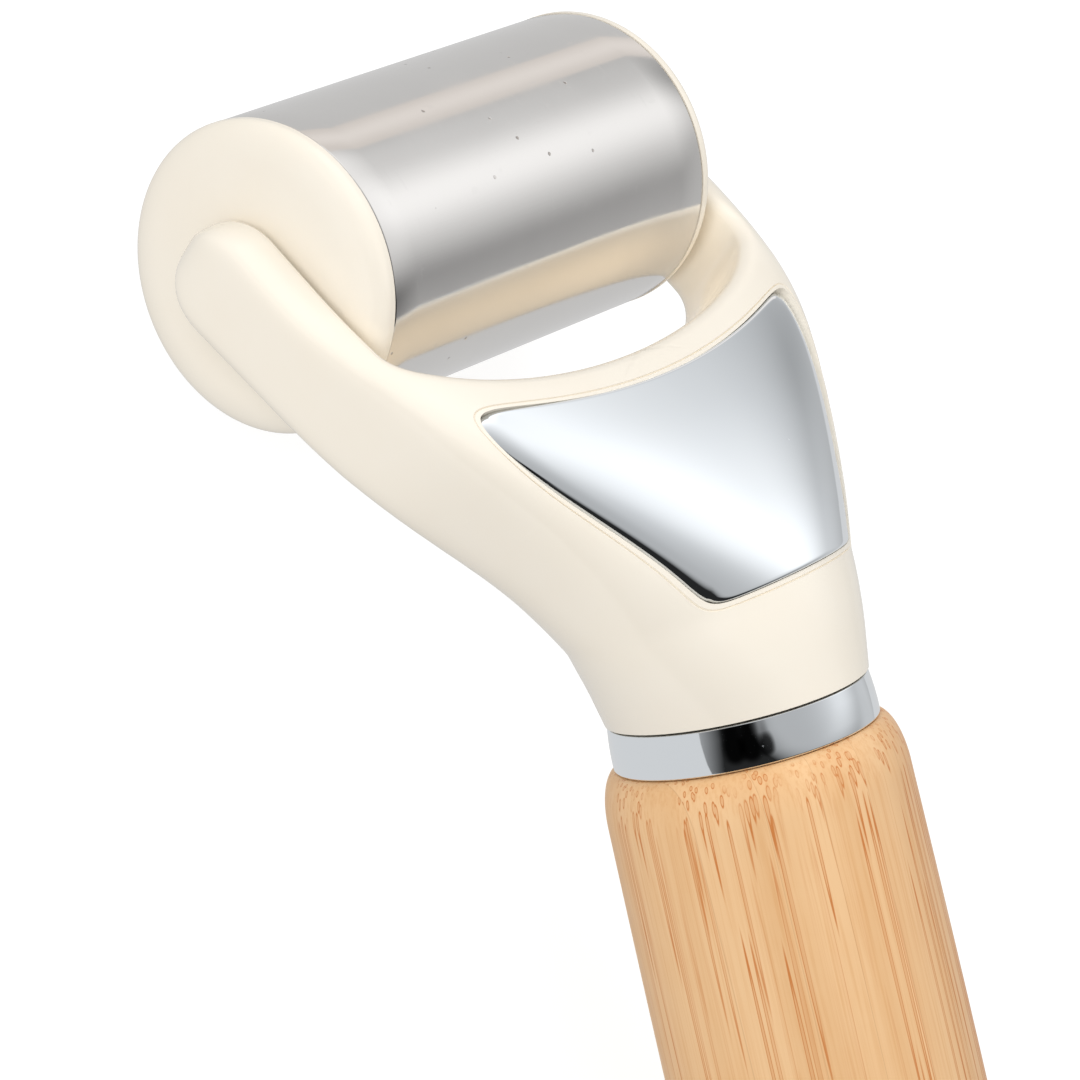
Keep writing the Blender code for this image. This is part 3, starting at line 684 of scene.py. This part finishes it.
class Nodes:
    """Builds one material's nodes with few words."""

    def __init__(self, name):
        self.material = bpy.data.materials.new(name)
        self.material.use_nodes = True
        self.tree = self.material.node_tree
        self.shader = self.tree.nodes["Principled BSDF"]
        self.world_place = self.tree.nodes.new("ShaderNodeTexCoord").outputs["Object"]
        upright = LYING.inverted()
        self.place = self.mapping(
            self.world_place,
            location=upright.translation - Vector((0, NECK_Y * MM, 0)),
            rotation=upright.to_euler(),
        )

    def put(self, socket, value):
        if isinstance(value, bpy.types.NodeSocket):
            self.tree.links.new(value, socket)
        else:
            socket.default_value = value

    def principled(self, **values):
        for key, value in values.items():
            self.put(self.shader.inputs[key.replace("_", " ")], value)

    def mapping(self, source, scale=(1, 1, 1), location=(0, 0, 0), rotation=(0, 0, 0)):
        node = self.tree.nodes.new("ShaderNodeMapping")
        self.put(node.inputs["Vector"], source)
        node.inputs["Scale"].default_value = scale
        node.inputs["Location"].default_value = location
        node.inputs["Rotation"].default_value = rotation
        return node.outputs["Vector"]

    def noise(self, source, scale, detail=2.0, roughness=0.5, color=False):
        node = self.tree.nodes.new("ShaderNodeTexNoise")
        self.put(node.inputs["Vector"], source)
        node.inputs["Scale"].default_value = scale
        node.inputs["Detail"].default_value = detail
        node.inputs["Roughness"].default_value = roughness
        return node.outputs["Color" if color else "Fac"]

    def voronoi(self, source, scale, flat=True, color=False):
        node = self.tree.nodes.new("ShaderNodeTexVoronoi")
        node.voronoi_dimensions = "2D" if flat else "3D"
        self.put(node.inputs["Vector"], source)
        node.inputs["Scale"].default_value = scale
        return node.outputs["Color" if color else "Distance"]

    def ramp(self, value, low, high, to_low=0.0, to_high=1.0, smooth=True):
        node = self.tree.nodes.new("ShaderNodeMapRange")
        node.interpolation_type = "SMOOTHSTEP" if smooth else "LINEAR"
        self.put(node.inputs["Value"], value)
        node.inputs["From Min"].default_value = low
        node.inputs["From Max"].default_value = high
        node.inputs["To Min"].default_value = to_low
        node.inputs["To Max"].default_value = to_high
        return node.outputs["Result"]

    def math(self, how, first, second=0.0, third=None):
        node = self.tree.nodes.new("ShaderNodeMath")
        node.operation = how
        self.put(node.inputs[0], first)
        self.put(node.inputs[1], second)
        if third is not None:
            self.put(node.inputs[2], third)
        return node.outputs[0]

    def vector(self, how, first, second=(0, 0, 0)):
        node = self.tree.nodes.new("ShaderNodeVectorMath")
        node.operation = how
        self.put(node.inputs[0], first)
        self.put(node.inputs[1], second)
        return node.outputs["Value" if how == "DOT_PRODUCT" else "Vector"]

    def split(self, source):
        node = self.tree.nodes.new("ShaderNodeSeparateXYZ")
        self.put(node.inputs[0], source)
        return node.outputs[0], node.outputs[1], node.outputs[2]

    def join(self, x, y, z):
        node = self.tree.nodes.new("ShaderNodeCombineXYZ")
        self.put(node.inputs[0], x)
        self.put(node.inputs[1], y)
        self.put(node.inputs[2], z)
        return node.outputs[0]

    def blend(self, factor, first, second):
        node = self.tree.nodes.new("ShaderNodeMix")
        node.data_type = "RGBA"
        self.put(node.inputs[0], factor)
        self.put(node.inputs[6], first)
        self.put(node.inputs[7], second)
        return node.outputs[2]

    def bump(self, height, strength, distance, normal=None):
        node = self.tree.nodes.new("ShaderNodeBump")
        node.inputs["Strength"].default_value = strength
        node.inputs["Distance"].default_value = distance
        self.put(node.inputs["Height"], height)
        if normal is not None:
            self.put(node.inputs["Normal"], normal)
        return node.outputs["Normal"]


def color(red, green, blue):
    """A colour from its sRGB values in 0..255."""
    found = []
    for value in (red, green, blue):
        c = value / 255
        found.append(c / 12.92 if c <= 0.04045 else ((c + 0.055) / 1.055) ** 2.4)
    return (*found, 1.0)


def cream_plastic(name):
    n = Nodes(name)
    mottle = n.noise(n.place, 90, 3, 0.55)
    tint = n.blend(mottle, color(248, 239, 223), color(251, 244, 231))
    specks = n.ramp(n.voronoi(n.place, 210, flat=False), 0.035, 0.06, 1.0, 0.0)
    few = n.ramp(n.noise(n.place, 120, 1), 0.62, 0.7)
    marks = n.math("MULTIPLY", specks, few)
    tint = n.blend(n.math("MULTIPLY", marks, 0.35), tint, color(176, 150, 118))
    peel = n.noise(n.place, 1400, 2)
    wave = n.noise(n.place, 160, 1)
    surface = n.bump(peel, 0.05, 0.00004)
    surface = n.bump(wave, 0.08, 0.0004, surface)
    n.principled(
        Base_Color=tint,
        Roughness=n.ramp(n.noise(n.place, 420, 4), 0.3, 0.7, 0.14, 0.2),
        IOR=1.6,
        Normal=surface,
    )
    return n.material


def polished_steel(name):
    n = Nodes(name)
    haze = n.noise(n.place, 85, 4, 0.6)
    lap = n.mapping(n.place, (1.0, 26.0, 26.0))
    lines = n.noise(lap, 130, 3, 0.65)
    turned = n.mapping(n.place, (34.0, 1.0, 1.0))
    rings = n.noise(turned, 60, 2, 0.5)
    one_way = n.mapping(n.place, (260, 30, 30), rotation=(0.3, 0.4, 0.6))
    other_way = n.mapping(n.place, (40, 230, 60), rotation=(1.1, 0.2, 2.0))
    first_cuts = n.ramp(n.noise(one_way, 9, 1), 0.735, 0.76)
    second_cuts = n.ramp(n.noise(other_way, 8, 1), 0.74, 0.765)
    scratches = n.math("MAXIMUM", first_cuts, second_cuts)
    pits = n.ramp(n.voronoi(n.place, 330, flat=False), 0.05, 0.10, 1.0, 0.0)
    seldom = n.ramp(n.noise(n.place, 75, 2, 0.6), 0.5, 0.6)
    pits = n.math("MULTIPLY", pits, seldom)
    surface = n.bump(lines, 0.10, 0.00002)
    surface = n.bump(n.math("MULTIPLY", scratches, -1.0), 0.1, 0.00002, surface)
    surface = n.bump(n.math("MULTIPLY", pits, -1.0), 0.5, 0.00008, surface)
    rough = n.ramp(haze, 0.35, 0.7, 0.07, 0.13)
    rough = n.math("MULTIPLY_ADD", rings, 0.03, rough)
    rough = n.math("MULTIPLY_ADD", scratches, 0.06, rough)
    tint = n.blend(haze, color(222, 220, 218), color(228, 226, 224))
    tint = n.blend(n.math("MULTIPLY", pits, 0.6), tint, color(126, 112, 98))
    n.principled(Base_Color=tint, Metallic=1.0, Roughness=rough, Normal=surface)
    return n.material


def chrome(name):
    n = Nodes(name)
    haze = n.noise(n.place, 60, 4, 0.6)
    dust = n.ramp(n.voronoi(n.place, 420, flat=False), 0.04, 0.07, 1.0, 0.0)
    dust = n.math("MULTIPLY", dust, n.ramp(n.noise(n.place, 140, 1), 0.6, 0.66))
    tint = n.blend(haze, color(240, 245, 250), color(244, 248, 251))
    rough = n.math("MULTIPLY_ADD", dust, 0.3, n.ramp(haze, 0.3, 0.7, 0.035, 0.06))
    surface = n.bump(n.noise(n.place, 55, 1), 0.12, 0.0002)
    n.principled(Base_Color=tint, Metallic=1.0, Roughness=rough, Normal=surface)
    return n.material


def bamboo(name):
    """Laminated strips with fibre bundles along z: streaks on the side, rings on the turned shoulder."""
    strip_width = 0.0066
    first_seam = 0.0021
    n = Nodes(name)
    wander = n.noise(n.mapping(n.place, (14, 14, 7)), 1.0, 1, 0.4, color=True)
    wander = n.vector("MULTIPLY", n.vector("SUBTRACT", wander, (0.5, 0.5, 0.5)), (0.0011, 0.0011, 0.0))
    point = n.vector("ADD", n.place, wander)
    turned = n.mapping(point, rotation=(0, 0, radians(24)))
    x, y, z = n.split(turned)
    across = n.math("DIVIDE", n.math("ADD", x, first_seam), strip_width)
    strip = n.math("FLOOR", across)
    within = n.math("FRACT", across)
    flip = n.math("PINGPONG", strip, 1.0)
    depth = n.math("ABSOLUTE", n.math("SUBTRACT", within, flip))
    shifted = n.join(n.math("MULTIPLY_ADD", strip, 0.0137, x), y, z)
    dots = n.voronoi(shifted, 1250)
    grow = n.ramp(depth, 0.0, 1.0, 0.18, 0.3, smooth=False)
    patch = n.noise(n.mapping(shifted, (230, 230, 0)), 1.0, 2)
    offset = n.math("SUBTRACT", dots, grow)
    rim = n.ramp(n.math("ABSOLUTE", offset), 0.015, 0.085, 1.0, 0.0)
    core = n.math("MAXIMUM", rim, n.ramp(offset, -0.08, 0.0, 0.3, 0.0))
    core = n.math("MULTIPLY", core, n.ramp(patch, 0.44, 0.58, 0.1, 1.0))
    fine = n.noise(n.mapping(shifted, (2600, 2600, 18)), 1.0, 3, 0.6)
    broad = n.noise(n.mapping(shifted, (170, 170, 9)), 1.0, 2)
    dirt = n.noise(n.place, 70, 4, 0.6)
    base = n.blend(n.ramp(broad, 0.3, 0.7), color(236, 188, 134), color(248, 205, 154))
    tone = n.voronoi(n.join(n.math("MULTIPLY", strip, 0.37), 0.0, 0.0), 1.0, color=True)
    strip_tone = n.ramp(n.split(tone)[0], 0.0, 1.0, 0.0, 0.35)
    base = n.blend(strip_tone, base, color(222, 176, 128))
    base = n.blend(n.ramp(fine, 0.42, 0.75, 0.0, 0.4), base, color(218, 154, 88))
    base = n.blend(n.ramp(dirt, 0.35, 0.75, 0.0, 0.25), base, color(244, 208, 162))
    base = n.blend(n.math("MULTIPLY", core, 0.9), base, color(204, 118, 42))
    seam = n.ramp(n.math("ABSOLUTE", n.math("SUBTRACT", within, 0.5)), 0.488, 0.499)
    base = n.blend(n.math("MULTIPLY", seam, 0.25), base, color(176, 120, 72))
    surface = n.bump(fine, 0.12, 0.00006)
    surface = n.bump(n.math("MULTIPLY", core, -1.0), 0.2, 0.00005, surface)
    n.principled(
        Base_Color=base,
        Roughness=n.ramp(n.noise(n.place, 300, 3), 0.3, 0.7, 0.42, 0.52),
        Normal=surface,
    )
    n.shader.inputs["Coat Weight"].default_value = 0.12
    n.shader.inputs["Coat Roughness"].default_value = 0.3
    return n.material


def plain_metal(name, first, second, roughness, line_scale):
    n = Nodes(name)
    lines = n.noise(n.mapping(n.place, line_scale), 1.0, 3, 0.6)
    n.principled(
        Base_Color=n.blend(lines, first, second),
        Metallic=1.0,
        Roughness=n.ramp(lines, 0.3, 0.7, roughness - 0.05, roughness + 0.08),
        Normal=n.bump(lines, 0.15, 0.00003),
    )
    return n.material


def soft_solid(name, first, second, low, high, scale, bump):
    n = Nodes(name)
    grain = n.noise(n.place, scale, 4, 0.6)
    n.principled(
        Base_Color=n.blend(grain, first, second),
        Roughness=n.ramp(grain, 0.3, 0.7, low, high),
        Normal=n.bump(grain, bump, 0.0001),
    )
    return n.material


def dress(obj, material):
    obj.data.materials.clear()
    obj.data.materials.append(material)


# ---- studio

def direction(azimuth, elevation):
    """A unit vector: azimuth turns from +X towards +Y, elevation rises from the table."""
    a = radians(azimuth)
    e = radians(elevation)
    return (cos(e) * cos(a), cos(e) * sin(a), sin(e))


def tent_material():
    """The light tent that only reflections see.

    The cloth is bright overhead and dark on one side, with a light band and a dark band ahead of the camera.
    Three dark spots stand for the photographer, a warm board stands low beyond the drum, and the lower half
    stands for the floor.
    """
    n = Nodes("tent")
    way = n.vector("NORMALIZE", n.world_place)

    def panel(azimuth, elevation, inner, outer, gain):
        near = n.vector("DOT_PRODUCT", way, direction(azimuth, elevation))
        return n.ramp(near, cos(radians(outer)), cos(radians(inner)), 0.0, gain)

    level = n.math("ADD", panel(74, 74, 37, 66, 0.7), TENT_CLOTH)
    level = n.math("SUBTRACT", level, panel(-130, 56, 1, 91, 0.81))
    level = n.math("MAXIMUM", level, TENT_DARKEST)
    ahead = n.ramp(n.vector("DOT_PRODUCT", way, (1, 0, 0)), 0.2, 0.5)

    def stripe(elevation, half_width, gain):
        side = n.vector("DOT_PRODUCT", way, (0, -sin(radians(elevation)), cos(radians(elevation))))
        return n.math("MULTIPLY", n.ramp(n.math("ABSOLUTE", side), 0.0, half_width, gain, 0.0), ahead)

    level = n.math("ADD", level, stripe(80, 0.26, 0.11))
    level = n.math("SUBTRACT", level, stripe(48, 0.26, 0.2))
    height = n.vector("DOT_PRODUCT", way, (0, 0, 1))
    below = n.ramp(height, -0.012, 0.0, 1.0, 0.0)
    above = n.math("SUBTRACT", 1.0, below)
    level = n.math("ADD", n.math("MULTIPLY", level, above), n.math("MULTIPLY", below, TENT_FLOOR))
    dark_spots = ((-171, 25, 5, 12), (-166, 38, 5, 12), (-158, 50, 3, 8))
    for azimuth, elevation, inner, outer in dark_spots:
        dark = panel(azimuth, elevation, inner, outer, 0.92)
        level = n.math("MULTIPLY", level, n.math("SUBTRACT", 1.0, dark))
    board_top = radians(25.3)
    board_tones = (0.8, 0.75, 0.71)
    board = n.ramp(n.vector("DOT_PRODUCT", way, (0.0, sin(board_top), -cos(board_top))), 0.0, 0.006)
    side = n.ramp(n.vector("DOT_PRODUCT", way, (0, 1, 0)), 0.3, 0.36)
    board = n.math("MULTIPLY", n.math("MULTIPLY", board, side), above)
    glow = stripe(12, 0.16, 0.15)
    warm = n.join(*(n.math("ADD", glow, tone) for tone in board_tones))
    shown = n.blend(board, n.join(level, level, level), warm)
    emission = n.tree.nodes.new("ShaderNodeEmission")
    n.put(emission.inputs["Color"], shown)
    output = n.tree.nodes["Material Output"]
    n.tree.links.new(emission.outputs[0], output.inputs["Surface"])
    n.tree.nodes.remove(n.shader)
    n.material.cycles.emission_sampling = "NONE"
    return n.material


def build_tent():
    radius = 3.0
    work = bmesh.new()
    bmesh.ops.create_uvsphere(work, u_segments=48, v_segments=24, radius=radius)
    mesh = bpy.data.meshes.new("tent")
    work.to_mesh(mesh)
    work.free()
    tent = bpy.data.objects.new("tent", mesh)
    bpy.context.collection.objects.link(tent)
    dress(tent, tent_material())
    tent.visible_camera = False
    tent.visible_diffuse = False
    tent.visible_shadow = False
    tent.visible_transmission = False


def build_floor():
    """A pale sheet of paper a tenth of a millimetre under the table's plane."""
    size = 2.9
    mesh = bpy.data.meshes.new("floor")
    corners = [(-size, -size, 0), (size, -size, 0), (size, size, 0), (-size, size, 0)]
    mesh.from_pydata(corners, [], [(0, 1, 2, 3)])
    floor = bpy.data.objects.new("floor", mesh)
    bpy.context.collection.objects.link(floor)
    floor.location.z = -0.0001
    floor.visible_glossy = False
    floor.visible_diffuse = False
    n = Nodes("floor")
    paper = n.noise(n.place, 900, 2)
    n.principled(Base_Color=n.blend(paper, (0.29, 0.29, 0.29, 1), (0.31, 0.31, 0.31, 1)), Roughness=0.9)
    n.shader.inputs["Specular IOR Level"].default_value = 0.0
    n.shader.inputs["Emission Color"].default_value = (1, 1, 1, 1)
    n.shader.inputs["Emission Strength"].default_value = FLOOR_LIGHT
    dress(floor, n.material)


def area_light(name, azimuth, elevation, distance, size, power):
    """A round lamp that faces the middle of the fork, hidden from reflections and from the camera."""
    light = bpy.data.lights.new(name, "AREA")
    light.shape = "DISK"
    light.size = size
    light.energy = power
    lamp = bpy.data.objects.new(name, light)
    bpy.context.collection.objects.link(lamp)
    aim = LYING @ Vector((0, -20 * MM, -30 * MM))
    away = Vector(direction(azimuth, elevation))
    lamp.location = aim + away * distance
    lamp.rotation_euler = away.to_track_quat("Z", "Y").to_euler()
    lamp.visible_glossy = False
    lamp.visible_camera = False


def drum_glow(length, width, power, tint):
    """The warm light that the drum throws back on to the fork's crotch."""
    light = bpy.data.lights.new("drum_glow", "AREA")
    light.shape = "RECTANGLE"
    light.size = length
    light.size_y = width
    light.energy = power
    light.color = tint
    lamp = bpy.data.objects.new("drum_glow", light)
    bpy.context.collection.objects.link(lamp)
    y, z = spine_point(CROTCH_END, 0.0)
    outward = Vector((0, float(y), float(z))).normalized()
    turn = LYING.to_3x3()
    back = -(turn @ outward)
    across = turn @ Vector((1, 0, 0))
    axes = Matrix((across, back.cross(across), back)).transposed()
    gap = 1.0
    lamp.matrix_world = Matrix.Translation(LYING @ (outward * (DRUM_R + gap) * MM)) @ axes.to_4x4()
    lamp.visible_glossy = False
    lamp.visible_camera = False


def build_studio():
    world = bpy.data.worlds.new("studio")
    world.use_nodes = True
    background = world.node_tree.nodes["Background"]
    background.inputs["Color"].default_value = (1.0, 1.0, 1.0, 1)
    background.inputs["Strength"].default_value = WORLD_LIGHT
    world.cycles_visibility.glossy = False
    bpy.context.scene.world = world
    build_tent()
    build_floor()
    area_light("key", azimuth=52, elevation=60, distance=1.2, size=0.9, power=4.9)
    area_light("fill", azimuth=165, elevation=25, distance=1.2, size=0.9, power=6.9)
    drum_glow(length=0.058, width=0.012, power=0.002, tint=(1.0, 0.84, 0.62))


def build_camera():
    """A long lens behind the roller's left shoulder, looking down on the shield."""
    camera = bpy.data.cameras.new("camera")
    camera.sensor_width = 36.0
    camera.lens = 173.13
    camera.clip_start = 0.05
    view = bpy.data.objects.new("camera", camera)
    bpy.context.collection.objects.link(view)
    ahead = Vector((0.762, 0.626, -0.165)).normalized()
    right = Vector((0.588, -0.776, -0.228))
    right = (right - ahead * right.dot(ahead)).normalized()
    up = right.cross(ahead)
    turn = Matrix((right, up, -ahead)).transposed().to_4x4()
    place = Matrix.Translation(Vector((-487.8, -405.9, 63.8)) * MM)
    view.matrix_world = LYING @ place @ turn
    bpy.context.scene.camera = view


# ---- the pieces

def mount(piece, node, body, material):
    dress(piece, material)
    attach(piece, body)
    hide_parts(node)


def build_pieces():
    mount(make_fork(), "yoke", "handle_assembly", cream_plastic("fork_cream"))
    mount(make_shield(), "shield_plate", "handle_assembly", chrome("shield_chrome"))
    mount(make_collar(), "collar_ring", "handle_assembly", chrome("collar_chrome"))
    mount(make_grip(), "handle", "handle_assembly", bamboo("grip_bamboo"))
    mount(make_tube(), "drum_shell", "drum", polished_steel("tube_steel"))
    for name, side in (("left", -1), ("right", 1)):
        cap = make_cap(f"cap_{name}", side)
        mount(cap, f"{name}_end_cap", "drum", cream_plastic(f"cap_{name}_cream"))


def dress_cad_nodes():
    nodes = frame["nodes"]
    along_x = (40, 1800, 1800)
    round_z = (600, 600, 3000)
    pin = plain_metal("pin_steel", color(176, 176, 178), color(198, 198, 200), 0.2, along_x)
    zinc = plain_metal("zinc_steel", color(186, 189, 192), color(208, 210, 212), 0.32, round_z)
    brass = plain_metal("brass", color(196, 158, 88), color(222, 186, 112), 0.3, round_z)
    rubber = soft_solid("black_rubber", color(20, 20, 20), color(34, 34, 34), 0.6, 0.75, 900, 0.2)
    foam = soft_solid("foam_tape", color(40, 40, 40), color(70, 70, 70), 0.85, 0.95, 2400, 0.5)
    gel = soft_solid("gel", color(96, 160, 205), color(120, 182, 222), 0.15, 0.3, 120, 0.1)
    acetal = soft_solid("acetal", color(236, 236, 230), color(244, 244, 240), 0.35, 0.5, 700, 0.1)
    for side in ("left", "right"):
        dress(nodes[f"{side}_pivot_pin"], pin)
        dress(nodes[f"{side}_cap_seal"], rubber)
        dress(nodes[f"{side}_arm_bush"], acetal)
        dress(nodes[f"{side}_thrust_washer"], acetal)
    dress(nodes["neck_bolt"], zinc)
    dress(nodes["neck_washer"], zinc)
    dress(nodes["handle_insert"], brass)
    dress(nodes["neck_gasket"], rubber)
    dress(nodes["shield_tape"], foam)
    dress(nodes["cooling_gel"], gel)


build_pieces()
dress_cad_nodes()
build_studio()
build_camera()
bpy.context.scene.view_settings.view_transform = "Standard"
